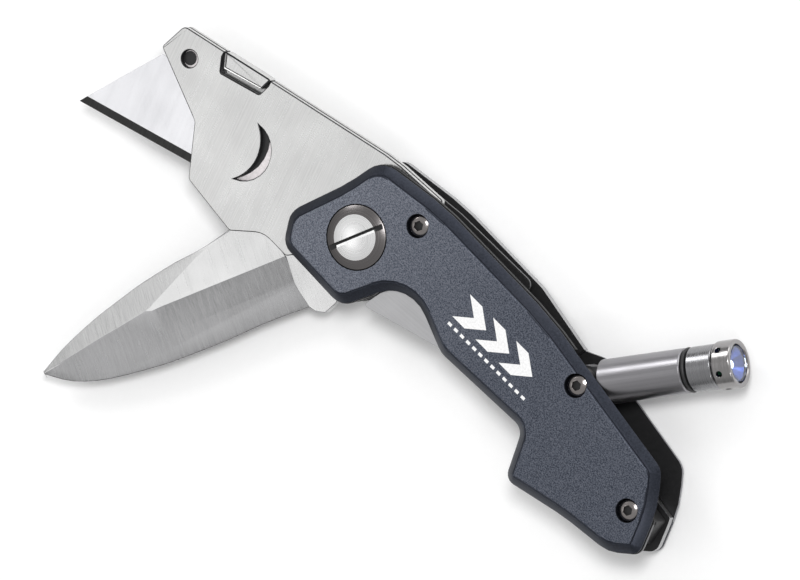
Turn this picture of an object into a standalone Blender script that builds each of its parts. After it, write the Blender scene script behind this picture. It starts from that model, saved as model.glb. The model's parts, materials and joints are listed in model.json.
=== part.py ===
"""Three-in-one folding pocket tool, modelled lying flat with its head and knife open.

A blade-holder head, a spear-point knife blade and a small light fold out of one handle.
World units are metres with +Z up.  Outlines are written in millimetres in the handle's
own plane: the main pivot is at (0, 0), +X runs toward the head and +Y toward the belly.
"""
import math

import bmesh
import bpy
from mathutils import Vector
from mathutils.geometry import convex_hull_2d

MM = 0.001
ARC_STEP = math.radians(16)      # longest arc that one segment spans in a rounded corner
ROUND_SEGMENTS = 28

# The stack of layers through the thickness, from the back face (z = 0) to the front face.
GAP = 0.3
REAR_SCALE_T = 1.5
REAR_LINER_T = 1.7
KNIFE_T = 2.4
MIDDLE_LINER_T = 0.6
HEAD_T = 3.4
FRONT_LINER_T = 0.9
FRONT_SCALE_T = 2.3
STACK = (("rear_scale", REAR_SCALE_T), ("rear_liner", REAR_LINER_T), ("knife", KNIFE_T),
         ("middle_liner", MIDDLE_LINER_T), ("head", HEAD_T), ("front_liner", FRONT_LINER_T),
         ("front_scale", FRONT_SCALE_T))

# Where the main pivot stands in the world, so that the base of the bounding box is centred.
PIVOT_X = 12.1
PIVOT_Y = -17.581

# Fixings, all on the handle.
STOP_PIN = (-9.4, -12.1)
LIGHT_PIVOT = (-61.4, -12.0)
REAR_POST = (-89.0, 0.1)
PIVOT_SHAFT_R = 3.0
PIVOT_HEAD_R = 7.2
PIVOT_HEAD_TOP_R = 5.15
PIVOT_HEAD_RISE = 0.9
PIVOT_SLOT_W = 1.2
PIVOT_SLOT_DEG = 63
PIVOT_NUT_R = 5.5
PIVOT_HOLE_R = PIVOT_SHAFT_R + GAP
WASHER_R = 6.0
WASHER_T = 0.5
RECESS_DEPTH = WASHER_T + GAP
TANG_R = 12.5
BARREL_R = 2.4
BARREL_BORE_R = 1.5
SCREW_SHAFT_R = 1.2
SCREW_SHAFT_LENGTH = 2.6
SCREW_HEAD_R = 2.45
SCREW_SOCKET_R = 1.15
SCREW_SOCKET_DEPTH = 0.9
SCREW_WELL_R = 2.75
THROUGH = 1.0                    # how far a cutter runs past the faces that it cuts

# Light, built along its own +X from the swivel pin and turned to where it rests.
LIGHT_R = 5.05
LIGHT_REST_DEG = 230.1
LIGHT_STOWED_DEG = 172.0
LIGHT_OPEN_DEG = 262.0
LIGHT_HEEL = 5.6
BEZEL_R = 5.5
LIGHT_END = 37.2

# Utility blade: a standard trapezoid, 61 mm along its cutting edge.
BLADE_TIP = (72.6, 25.9)
BLADE_EDGE_DEG = 195.9
BLADE_LENGTH = 61.0
BLADE_HEIGHT = 18.7
BLADE_INSET = 14.0
BLADE_T = 0.6
BLADE_GRIND = 1.9

HANDLE_OUTLINE = (
    (7.4, -16.5, 6.5), (-11.0, -19.1, 40.0), (-46.0, -18.5, 60.0), (-88.5, -11.9, 4.0),
    (-93.6, -5.0, 25.0), (-97.0, 6.0, 2.5), (-90.9, 10.8, 8.0), (-78.0, 12.3, 40.0),
    (-62.0, 15.9, 2.6), (-57.6, 4.6, 3.2), (-31.8, 5.7, 6.0), (-15.6, -1.1, 9.5),
    (-6.6, 14.8, 4.5), (12.8, 14.2, 4.0), (16.4, 7.4, 4.5), (10.2, -6.6, 30.0))
REAR_SCALE_SPINE = (
    (6.0, -16.2, 2.6), (-11.0, -18.6, 40.0), (-37.0, -18.1, 3.0), (-44.0, -16.2, 4.0),
    (-53.5, -14.6, 2.0), (-58.6, -16.9, 1.5), (-88.5, -11.9, 4.0))
REAR_LINER_SPINE = (
    (6.6, -16.7, 2.6), (-11.0, -19.1, 40.0), (-37.5, -18.7, 4.0), (-56.0, -15.2, 30.0),
    (-88.5, -11.4, 4.0))
MIDDLE_LINER_SPINE = (
    (6.0, -15.8, 3.0), (-10.0, -18.7, 40.0), (-36.4, -19.2, 2.0), (-37.4, -6.0, 3.0),
    (-84.4, -1.0, 1.5), (-84.4, 9.5, 1.5))
LOCK_ARM_OUTLINE = (
    (-52.0, -2.0, 1.0), (-52.0, 4.3, 0.6), (-31.5, 5.3, 6.0), (-10.2, 11.3, 0.6),
    (-11.6, 6.2, 2.0), (-16.0, -1.0, 3.0), (-30.0, -2.2, 20.0))
LOCK_ARM_T = 0.6
WINDOW_X = -31.0
WINDOW_Y = 3.0
WINDOW_OPENS = 3.0
HEAD_OUTLINE_TOP = (
    (-9.2, -17.4, 0.8), (-8.2, -18.5, 0.8), (6.0, -17.7, 30.0), (63.9, -4.9, 1.5),
    (65.0, 2.3, 0.8), (47.9, 9.3, 1.2), (40.5, 20.0, 1.6), (25.4, 21.7, 1.2),
    (18.9, 16.3, 6.0), (11.4, 16.4, 1.0))
BUTTON_OUTLINE = ((52.7, -7.6, 0.4), (50.5, -4.4, 0.4), (40.5, -7.2, 0.4), (40.1, -10.45, 0.4))
BUTTON_CENTRE = (46.0, -8.0)
BUTTON_TRAVEL = 1.0
BUTTON_PRESS = (-0.2095, 0.9778)
NAIL_HOLE = (58.1, -0.3, 2.0)
THUMB_CUT_OUTER = ((35.6, -0.9), (27.9, 6.4), (32.2, 12.2))
THUMB_CUT_INNER = (30.8, 6.2)
REAR_SPACER_OUTLINE = (
    (-85.6, -2.2, 0.6), (-85.6, 3.2, 1.0), (-90.6, 7.6, 1.5), (-94.8, 5.6, 1.0), (-94.3, -0.8, 0.6))

COLOURS = {
    "anodised": ((0.065, 0.085, 0.125), 0.45, 0.85),
    "steel": ((0.56, 0.56, 0.57), 0.32, 1.0),
    "bright_steel": ((0.72, 0.72, 0.74), 0.20, 1.0),
    "nickel": ((0.62, 0.61, 0.63), 0.28, 1.0),
    "black_plastic": ((0.02, 0.02, 0.022), 0.45, 0.0),
    "rubber": ((0.012, 0.012, 0.012), 0.60, 0.0),
    "brass": ((0.62, 0.45, 0.20), 0.35, 1.0),
    "green_board": ((0.03, 0.20, 0.10), 0.50, 0.0),
    "lens": ((0.85, 0.90, 1.00), 0.05, 0.0),
    "led": ((0.80, 0.88, 1.00), 0.20, 0.0),
}


def layer(name):
    """Bottom and top heights (mm) of one layer of the stack."""
    height = 0.0
    for layer_name, thickness in STACK:
        if layer_name == name:
            return height, height + thickness
        height += thickness + GAP
    raise KeyError(name)


def light_height():
    """Height (mm) of the light's axis: the middle of the whole stack."""
    return (layer("rear_scale")[0] + layer("front_scale")[1]) / 2


def clear_scene():
    for thing in list(bpy.data.objects):
        bpy.data.objects.remove(thing, do_unlink=True)


def material(name):
    existing = bpy.data.materials.get(name)
    if existing:
        return existing
    colour, roughness, metallic = COLOURS[name]
    made = bpy.data.materials.new(name)
    made.use_nodes = True
    shader = made.node_tree.nodes["Principled BSDF"]
    shader.inputs["Base Color"].default_value = (*colour, 1.0)
    shader.inputs["Roughness"].default_value = roughness
    shader.inputs["Metallic"].default_value = metallic
    return made


# ---------------------------------------------------------------- outlines

def signed_area(points):
    total = 0.0
    for here, there in zip(points, points[1:] + points[:1]):
        total += here[0] * there[1] - there[0] * here[1]
    return total / 2


def anticlockwise(corners):
    corners = list(corners)
    if signed_area([(x, y) for x, y, _ in corners]) < 0:
        corners.reverse()
    return corners


def inset(corners, distance):
    """Move each side of a corner list inward (outward when the distance is negative)."""
    corners = anticlockwise(corners)
    moved = []
    for index, (x, y, radius) in enumerate(corners):
        before = Vector(corners[index - 1][:2])
        here = Vector((x, y))
        after = Vector(corners[(index + 1) % len(corners)][:2])
        side_in = (here - before).normalized()
        side_out = (after - here).normalized()
        normal_in = Vector((-side_in.y, side_in.x))
        normal_out = Vector((-side_out.y, side_out.x))
        shift = (normal_in + normal_out) * (distance / (1 + normal_in.dot(normal_out)))
        convex = side_in.cross(side_out) > 0
        new_radius = radius - distance if convex else radius + distance
        moved.append((x + shift.x, y + shift.y, max(new_radius, 0.2)))
    return moved


def rounded(corners):
    """Points of a closed outline whose corners (x, y, radius) are rounded with arcs."""
    corners = anticlockwise(corners)
    points = []
    for index, (x, y, radius) in enumerate(corners):
        before = Vector(corners[index - 1][:2])
        here = Vector((x, y))
        after = Vector(corners[(index + 1) % len(corners)][:2])
        side_in = (here - before).normalized()
        side_out = (after - here).normalized()
        turn = math.atan2(side_in.cross(side_out), side_in.dot(side_out))
        start = here - side_in * (radius * math.tan(abs(turn) / 2))
        toward_centre = Vector((-side_in.y, side_in.x)) * math.copysign(1, turn)
        centre = start + toward_centre * radius
        steps = max(1, math.ceil(abs(turn) / ARC_STEP))
        spoke = start - centre
        for step in range(steps + 1):
            angle = turn * step / steps
            turned = Vector((spoke.x * math.cos(angle) - spoke.y * math.sin(angle),
                             spoke.x * math.sin(angle) + spoke.y * math.cos(angle)))
            points.append(tuple(centre + turned))
    return points


def arc(centre, radius, start_deg, end_deg, steps):
    """Points of an arc, both ends included."""
    points = []
    for step in range(steps + 1):
        angle = math.radians(start_deg + (end_deg - start_deg) * step / steps)
        points.append((centre[0] + radius * math.cos(angle), centre[1] + radius * math.sin(angle)))
    return points


def arc_through(first, middle, last, steps):
    """Points of the arc through three points, from the first to the last."""
    a, b, c = Vector(first), Vector(middle), Vector(last)
    doubled = 2 * (a.x * (b.y - c.y) + b.x * (c.y - a.y) + c.x * (a.y - b.y))
    centre = Vector((
        (a.length_squared * (b.y - c.y) + b.length_squared * (c.y - a.y)
         + c.length_squared * (a.y - b.y)) / doubled,
        (a.length_squared * (c.x - b.x) + b.length_squared * (a.x - c.x)
         + c.length_squared * (b.x - a.x)) / doubled))
    start = math.degrees(math.atan2(a.y - centre.y, a.x - centre.x))
    end = math.degrees(math.atan2(c.y - centre.y, c.x - centre.x))
    sweep = (end - start + 180) % 360 - 180
    return arc(centre, (a - centre).length, start, start + sweep, steps)


# ---------------------------------------------------------------- solids

def place(name, mesh, origin, height, colour, sharp_deg=30):
    """Make an object whose mesh is in millimetres about origin, and stand it in the world."""
    body = bpy.data.objects.new(name, mesh)
    bpy.context.scene.collection.objects.link(body)
    body.location = ((PIVOT_X + origin[0]) * MM, (PIVOT_Y + origin[1]) * MM, height * MM)
    mesh.materials.append(material(colour))
    mesh.shade_smooth()
    mesh.set_sharp_from_angle(angle=math.radians(sharp_deg))
    return body


def skin(name, rings):
    """A closed mesh through rings of millimetre points, capped at both ends."""
    made = bmesh.new()
    loops = [[made.verts.new(Vector(point) * MM) for point in ring] for ring in rings]
    for lower, upper in zip(loops, loops[1:]):
        count = len(lower)
        for index in range(count):
            after = (index + 1) % count
            made.faces.new((lower[index], lower[after], upper[after], upper[index]))
    made.faces.new(reversed(loops[0]))
    made.faces.new(loops[-1])
    bmesh.ops.recalc_face_normals(made, faces=made.faces)
    mesh = bpy.data.meshes.new(name)
    made.to_mesh(mesh)
    made.free()
    return mesh


def prism(name, points, bottom, top, colour, origin=(0, 0)):
    """A flat plate with the outline's points, standing between two heights."""
    flat = [(x - origin[0], y - origin[1]) for x, y in points]
    rings = [[(x, y, height) for x, y in flat] for height in (0, top - bottom)]
    return place(name, skin(name, rings), origin, bottom, colour)


def turned(name, profile, colour, origin=(0, 0), height=0.0, segments=ROUND_SEGMENTS, about_x=False):
    """A solid of revolution from a closed profile of (radius, height) points."""
    made = bmesh.new()
    on_axis = any(radius == 0 for radius, _ in profile)
    rings = []
    for step in range(segments):
        angle = math.tau * step / segments
        ring = []
        for radius, along in profile:
            if radius == 0 and rings:
                ring.append(rings[0][len(ring)])
                continue
            spot = (radius * math.cos(angle), radius * math.sin(angle), along)
            if about_x:
                spot = (along, spot[0], spot[1])
            ring.append(made.verts.new(Vector(spot) * MM))
        rings.append(ring)
    count = len(profile)
    for index, ring in enumerate(rings):
        following = rings[(index + 1) % segments]
        for spot in range(count - 1 if on_axis else count):
            after = (spot + 1) % count
            corners = []
            for vertex in (ring[spot], ring[after], following[after], following[spot]):
                if vertex not in corners:
                    corners.append(vertex)
            if len(corners) > 2:
                made.faces.new(corners)
    bmesh.ops.recalc_face_normals(made, faces=made.faces)
    mesh = bpy.data.meshes.new(name)
    made.to_mesh(mesh)
    made.free()
    return place(name, mesh, origin, height, colour)


def ring_profile(inner, outer, bottom, top):
    return ((inner, bottom), (outer, bottom), (outer, top), (inner, top))


def rod_profile(radius, bottom, top):
    return ((0, bottom), (radius, bottom), (radius, top), (0, top))


def hide_cutter(cutter):
    cutter.hide_render = True
    cutter.display_type = 'WIRE'
    return cutter


def subtract(body, cutter):
    cut = body.modifiers.new("cut_" + cutter.name[-20:], 'BOOLEAN')
    cut.operation = 'DIFFERENCE'
    cut.solver = 'EXACT'
    cut.object = cutter


def add_to(body, extra):
    join = body.modifiers.new("add_" + extra.name[-20:], 'BOOLEAN')
    join.operation = 'UNION'
    join.solver = 'EXACT'
    join.object = extra


def drill(body, holes, segments=ROUND_SEGMENTS):
    """Cut round holes (x, y, radius, bottom, top) out of a part."""
    for index, (x, y, radius, bottom, top) in enumerate(holes):
        cutter = turned(f"{body.name}_drill_{index}", rod_profile(radius, 0, top - bottom),
                        "steel", (x, y), bottom, segments)
        subtract(body, hide_cutter(cutter))


# ---------------------------------------------------------------- handle

def spine_variant(spine, shared_from, shared_to):
    """The handle outline with its spine corners replaced."""
    return spine + HANDLE_OUTLINE[shared_from:shared_to]


def light_sweep():
    """Cutter for all the room that the light needs as it swings about its pin."""
    half_width = LIGHT_R + 0.35
    reach = LIGHT_END + 1.5
    heel = 7.95
    flare = math.degrees(math.asin(half_width / reach))
    heel_flare = math.degrees(math.asin(half_width / heel))
    points = arc(LIGHT_PIVOT, reach, LIGHT_STOWED_DEG - flare, LIGHT_OPEN_DEG + flare, 12)
    points += arc(LIGHT_PIVOT, heel, LIGHT_OPEN_DEG + heel_flare,
                  LIGHT_STOWED_DEG + 360 - heel_flare, 16)
    floor = layer("rear_scale")[1] + GAP / 2
    ceiling = light_height() + LIGHT_R + GAP
    sweep = prism("light_sweep_cutter", points, floor, ceiling, "steel")
    return hide_cutter(sweep)


def bevelled_scale(name):
    """Front scale: a plate with a wide bevel and a fine groove around its flat face."""
    bottom, top = layer("front_scale")
    levels = ((0.0, 0.0), (0.0, 0.4), (1.1, 1.5), (1.9, FRONT_SCALE_T - 0.2),
              (2.1, FRONT_SCALE_T - 0.26), (2.25, FRONT_SCALE_T - 0.05), (2.45, FRONT_SCALE_T))
    rings = []
    for distance, height in levels:
        outline = rounded(inset(HANDLE_OUTLINE, distance))
        rings.append([(x, y, height) for x, y in outline])
    return place(name, skin(name, rings), (0, 0), bottom, "anodised", 22)


def screw_wells(bottom, top, pivot_radius):
    """Holes through a scale for its three screws and for the main pivot."""
    spots = [(x, y, SCREW_WELL_R) for x, y in (STOP_PIN, LIGHT_PIVOT, REAR_POST)]
    return [(x, y, radius, bottom - THROUGH, top + THROUGH)
            for x, y, radius in spots + [(0, 0, pivot_radius)]]


def make_scales(sweep):
    front = bevelled_scale("front_scale")
    bottom, top = layer("front_scale")
    drill(front, screw_wells(bottom, top, PIVOT_HEAD_R + GAP))
    subtract(front, sweep)

    bottom, top = layer("rear_scale")
    corners = spine_variant(REAR_SCALE_SPINE, 4, 16)
    rings = []
    for distance, height in ((0.8, 0.0), (0.0, 0.8), (0.0, REAR_SCALE_T)):
        rings.append([(x, y, height) for x, y in rounded(inset(corners, distance))])
    rear = place("rear_scale", skin("rear_scale", rings), (0, 0), bottom, "anodised")
    drill(rear, screw_wells(bottom, top, PIVOT_NUT_R + GAP))


def make_liners(sweep):
    around_arm = inset(LOCK_ARM_OUTLINE, -GAP - 0.05)
    open_edge = [(x, y + WINDOW_OPENS if x < WINDOW_X and y > WINDOW_Y else y, radius)
                 for x, y, radius in around_arm]
    outlines = {
        "front_liner": inset(HANDLE_OUTLINE, -0.2),
        "rear_liner": spine_variant(REAR_LINER_SPINE, 4, 16),
        "middle_liner": spine_variant(MIDDLE_LINER_SPINE, 8, 16),
    }
    for name, corners in outlines.items():
        bottom, top = layer(name)
        plate = prism(name, rounded(corners), bottom, top, "steel")
        low, high = bottom - THROUGH, top + THROUGH
        holes = [(0, 0, PIVOT_HOLE_R, low, high)]
        pin_radius = BARREL_R + GAP if name == "middle_liner" else SCREW_SHAFT_R + GAP
        holes.append((*STOP_PIN, pin_radius, low, high))
        if name != "middle_liner":
            holes.append((*REAR_POST, SCREW_SHAFT_R + GAP, low, high))
            window = prism(name + "_lock_window", rounded(open_edge), low, high, "steel")
            subtract(plate, hide_cutter(window))
        drill(plate, holes)
        subtract(plate, sweep)


def make_lock_arms():
    front_bottom = layer("front_liner")[0]
    rear_top = layer("rear_liner")[1]
    root = LOCK_ARM_OUTLINE[0][:2]
    points = rounded(LOCK_ARM_OUTLINE)
    prism("head_lock_arm", points, front_bottom, front_bottom + LOCK_ARM_T, "steel", root)
    prism("knife_lock_arm", points, rear_top - LOCK_ARM_T, rear_top, "steel", root)


def screw_profile(head_height):
    """Button-head screw pointing down: shaft below zero, domed head above it."""
    head = SCREW_HEAD_R
    dome = [(head, 0.0), (head, 0.37), (head * 0.92, 0.67), (head * 0.72, 0.87), (head * 0.45, 0.97),
            (0, 1.0)]
    shaft = [(0, -SCREW_SHAFT_LENGTH), (SCREW_SHAFT_R, -SCREW_SHAFT_LENGTH), (SCREW_SHAFT_R, 0.0)]
    return shaft + [(radius, rise * head_height) for radius, rise in dome]


def make_screw(name, spot, height, head_height, direction):
    """A screw whose head stands up (direction 1) or down (-1) from its seat."""
    profile = [(radius, direction * along) for radius, along in screw_profile(head_height)]
    screw = turned(name, profile, "bright_steel", spot, height, 20)
    floor = direction * (head_height - SCREW_SOCKET_DEPTH)
    end = direction * (head_height + THROUGH)
    socket = turned(name + "_socket", rod_profile(SCREW_SOCKET_R, min(floor, end), max(floor, end)),
                    "steel", spot, height, 6)
    subtract(screw, hide_cutter(socket))


def make_fixings():
    front_seat = layer("front_scale")[0]
    rear_seat = layer("rear_scale")[1]
    for place_name, spot in (("nose", STOP_PIN), ("middle", LIGHT_PIVOT), ("rear", REAR_POST)):
        make_screw(f"front_screw_{place_name}", spot, front_seat, 1.5, 1)
        make_screw(f"rear_screw_{place_name}", spot, rear_seat, 1.2, -1)

    inner_bottom = layer("knife")[0]
    inner_top = layer("head")[1]
    turned("stop_pin", ring_profile(BARREL_BORE_R, BARREL_R, inner_bottom, inner_top),
           "steel", STOP_PIN)
    blade_room = BLADE_T / 2 + GAP
    blade_height = sum(layer("head")) / 2
    for name, low, high in (("rear_spacer_lower", inner_bottom, blade_height - blade_room),
                            ("rear_spacer_upper", blade_height + blade_room, inner_top)):
        spacer = prism(name, rounded(REAR_SPACER_OUTLINE), low, high, "black_plastic")
        drill(spacer, [(*REAR_POST, BARREL_BORE_R, low - THROUGH, high + THROUGH)])
    light_bottom = layer("rear_liner")[0]
    light_top = layer("front_liner")[1]
    turned("light_pivot_barrel", ring_profile(BARREL_BORE_R, BARREL_R, light_bottom, light_top),
           "steel", LIGHT_PIVOT)

    pivot_top = layer("front_scale")[1]
    crown = pivot_top + PIVOT_HEAD_RISE
    shaft = ((0, 0.5), (PIVOT_SHAFT_R, 0.5), (PIVOT_SHAFT_R, front_seat), (PIVOT_HEAD_R, front_seat),
             (PIVOT_HEAD_R, pivot_top), (PIVOT_HEAD_TOP_R, crown), (0, crown))
    screw = turned("pivot_screw", shaft, "bright_steel", segments=48)
    reach, half_slot = PIVOT_HEAD_R - 0.2, PIVOT_SLOT_W / 2
    slot = prism("pivot_slot_cutter", [(-reach, -half_slot), (reach, -half_slot), (reach, half_slot),
                                       (-reach, half_slot)], pivot_top, crown + THROUGH, "steel")
    slot.rotation_euler.z = math.radians(PIVOT_SLOT_DEG)
    subtract(screw, hide_cutter(slot))
    turned("pivot_nut", ring_profile(PIVOT_HOLE_R, PIVOT_NUT_R, 0.2, rear_seat), "steel")


def make_pivot_washers():
    washer_layers = (("knife_washer_rear", layer("knife")[0]),
                     ("knife_washer_front", layer("knife")[1] - WASHER_T),
                     ("head_washer_rear", layer("head")[0]),
                     ("head_washer_front", layer("head")[1] - WASHER_T))
    for name, bottom in washer_layers:
        turned(name, ring_profile(PIVOT_HOLE_R, WASHER_R, bottom, bottom + WASHER_T), "brass")


# ---------------------------------------------------------------- head

def head_outline():
    """The holder's outline: its corners, closed by the round tang about the pivot."""
    tang = arc((0, 0), TANG_R, 59.5, 242.0, 4)
    blends = (0.4, 6.0, 6.0, 6.0, 0.4)
    return rounded(list(HEAD_OUTLINE_TOP) + [(x, y, blend) for (x, y), blend in zip(tang, blends)])


def swept_outline(points, shifts):
    """The outline that holds a convex outline at every one of its shifted places."""
    cloud = [(x + dx, y + dy) for dx, dy in shifts for x, y in points]
    return [cloud[index] for index in convex_hull_2d(cloud)]


def button_room():
    """The button's pocket: its outline with clearance, from above the spine to fully pressed."""
    around = rounded(inset(BUTTON_OUTLINE, -GAP))
    press = Vector(BUTTON_PRESS)
    return swept_outline(around, [tuple(press * distance) for distance in (-2.0, BUTTON_TRAVEL)])


def blade_frame():
    """Unit vectors along the blade's edge (away from its tip) and across to its back."""
    along = Vector((math.cos(math.radians(BLADE_EDGE_DEG)), math.sin(math.radians(BLADE_EDGE_DEG))))
    across = Vector((-along.y, along.x))
    return along, across


def blade_point(distance, depth):
    along, across = blade_frame()
    spot = Vector(BLADE_TIP) + along * distance + across * depth
    return spot.x, spot.y


def make_head():
    bottom, top = layer("head")
    middle = (bottom + top) / 2
    slot_half = BLADE_T / 2 + 0.25
    low, high = bottom - THROUGH, top + THROUGH
    outline = head_outline()
    front = prism("head_front_plate", outline, middle + GAP / 2, top, "steel")
    rear = prism("head_rear_plate", outline, bottom, middle - GAP / 2, "steel")

    slot_points = [blade_point(-40, -1.2), blade_point(BLADE_LENGTH + 0.6, -1.2),
                   blade_point(BLADE_LENGTH + 0.6, 0.2),
                   blade_point(BLADE_LENGTH - BLADE_INSET + 0.5, BLADE_HEIGHT + 0.35),
                   blade_point(-40, BLADE_HEIGHT + 0.35)]
    blade_slot = hide_cutter(prism("blade_slot_cutter", slot_points, middle - slot_half,
                                   middle + slot_half, "steel"))
    notch = hide_cutter(prism("button_notch_cutter", button_room(), low, high, "steel"))
    for plate, recess_bottom, recess_top in ((front, top - RECESS_DEPTH, high),
                                             (rear, low, bottom + RECESS_DEPTH)):
        drill(plate, [(0, 0, PIVOT_HOLE_R, low, high),
                      (0, 0, WASHER_R + GAP, recess_bottom, recess_top),
                      (*NAIL_HOLE, low, high)])
        subtract(plate, blade_slot)
        subtract(plate, notch)

    tip_in, bulge, tip_out = THUMB_CUT_OUTER
    crescent = arc_through(tip_in, bulge, tip_out, 12)
    crescent += arc_through(tip_out, THUMB_CUT_INNER, tip_in, 12)[1:-1]
    thumb_cut = prism("thumb_cut_cutter", crescent, middle, high, "steel")
    subtract(front, hide_cutter(thumb_cut))

    prism("release_button", rounded(BUTTON_OUTLINE), bottom + GAP, top, "steel", BUTTON_CENTRE)


def make_utility_blade():
    middle = sum(layer("head")) / 2
    half = BLADE_T / 2
    origin = BLADE_TIP
    rings = []
    for at_tip in (True, False):
        ring = []
        for depth, side in ((0, -0.03), (BLADE_GRIND, -half), (BLADE_HEIGHT, -half),
                            (BLADE_HEIGHT, half), (BLADE_GRIND, half), (0, 0.03)):
            slant = BLADE_INSET * depth / BLADE_HEIGHT
            distance = slant if at_tip else BLADE_LENGTH - slant
            x, y = blade_point(distance, depth)
            ring.append((x - origin[0], y - origin[1], side))
        rings.append(ring)
    place("utility_blade", skin("utility_blade", rings), origin, middle, "bright_steel", 5)


# ---------------------------------------------------------------- knife

# Rows from the plunge to the tip: edge, lower grind line, upper grind line, spine and the
# half thickness at the grind lines and at the spine, as parts of the blade's own.
KNIFE_ROWS = (
    ((0.4, 21.3), (11.9, 16.4), (24.0, 13.2), (24.4, 13.0), 1.0, 1.0),
    ((6.7, 32.6), (17.4, 25.9), (28.3, 29.6), (28.8, 29.5), 1.0, 1.0),
    ((11.4, 42.5), (22.3, 35.7), (29.6, 38.4), (32.2, 38.0), 1.0, 0.75),
    ((16.4, 52.0), (26.8, 45.0), (30.0, 46.8), (35.1, 46.6), 1.0, 0.55),
    ((19.7, 57.8), (29.2, 50.0), (30.3, 51.0), (36.4, 51.4), 0.97, 0.48),
    ((27.1, 68.8), (33.3, 60.4), (33.9, 61.0), (38.7, 61.4), 0.70, 0.34),
    ((33.4, 75.4), (36.7, 70.4), (37.2, 70.8), (40.1, 71.2), 0.42, 0.22),
    ((39.7, 79.1), (39.9, 79.0), (40.1, 78.95), (40.3, 78.8), 0.10, 0.07))
KNIFE_TANG_HEAD = (
    (-3.2, 17.6, 1.5), (-2.7, 20.9, 0.8), (-0.6, 22.3, 0.6), (1.0, 22.6, 0.5), (6.8, 21.4, 8.0),
    (12.6, 18.2, 1.0), (25.0, 15.6, 0.5), (20.5, 2.0, 20.0), (15.5, -8.0, 3.0), (12.0, -12.4, 1.0))


def catmull_rom(points, rows_between):
    """A smooth run through the points, with extra ones between each pair."""
    vectors = [Vector(point) for point in points]
    smooth = []
    for index in range(len(vectors) - 1):
        p0 = vectors[max(index - 1, 0)]
        p1 = vectors[index]
        p2 = vectors[index + 1]
        p3 = vectors[min(index + 2, len(vectors) - 1)]
        for step in range(rows_between):
            t = step / rows_between
            smooth.append(0.5 * ((2 * p1) + (p2 - p0) * t + (2 * p0 - 5 * p1 + 4 * p2 - p3) * t ** 2
                                 + (3 * p1 - p0 - 3 * p2 + p3) * t ** 3))
    smooth.append(vectors[-1])
    return smooth


def make_knife():
    bottom, top = layer("knife")
    half = KNIFE_T / 2
    flat = half - 0.01
    edge, lower, upper, spine = (catmull_rom([row[line] for row in KNIFE_ROWS], 3)
                                 for line in range(4))
    thickness = catmull_rom([row[4:] for row in KNIFE_ROWS], 3)
    rings = []
    for e, g, w, s, (body_part, spine_part) in zip(edge, lower, upper, spine, thickness):
        thick = flat * body_part
        thin = flat * spine_part
        hollow = g.lerp(e, 0.5)
        micro = g.lerp(e, 0.93)
        side = [(e, 0.03), (micro, 0.05 + 0.06 * thick), (hollow, 0.05 + 0.36 * thick),
                (g, thick), (w, thick), (s, thin)]
        ring = [(spot.x, spot.y, height) for spot, height in side]
        ring += [(spot.x, spot.y, -height) for spot, height in reversed(side)]
        rings.append(ring)
    ground = place("knife_ground_part", skin("knife_ground_part", rings), (0, 0), bottom + half,
                   "steel")

    tang = arc((0, 0), TANG_R, 104, 310, 5)
    corners = list(KNIFE_TANG_HEAD)
    corners += [(x, y, 7.0 if 0 < index < 5 else 0.4)
                for index, (x, y) in reversed(list(enumerate(tang)))]
    blade = prism("knife_blade", rounded(corners), bottom, top, "steel")
    add_to(blade, hide_cutter(ground))
    low, high = bottom - THROUGH, top + THROUGH
    drill(blade, [(0, 0, PIVOT_HOLE_R, low, high),
                  (0, 0, WASHER_R + GAP, low, bottom + RECESS_DEPTH),
                  (0, 0, WASHER_R + GAP, top - RECESS_DEPTH, high)])


# ---------------------------------------------------------------- light

def stand_light(part):
    """Turn a light part from its own +X to where the light rests."""
    part.rotation_euler.z = math.radians(LIGHT_REST_DEG)
    return part


def light_part(name, profile, colour, segments=ROUND_SEGMENTS):
    """A turned light part from a profile of (radius, distance from the swivel pin)."""
    return stand_light(turned(name, profile, colour, LIGHT_PIVOT, light_height(), segments,
                              about_x=True))


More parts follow.
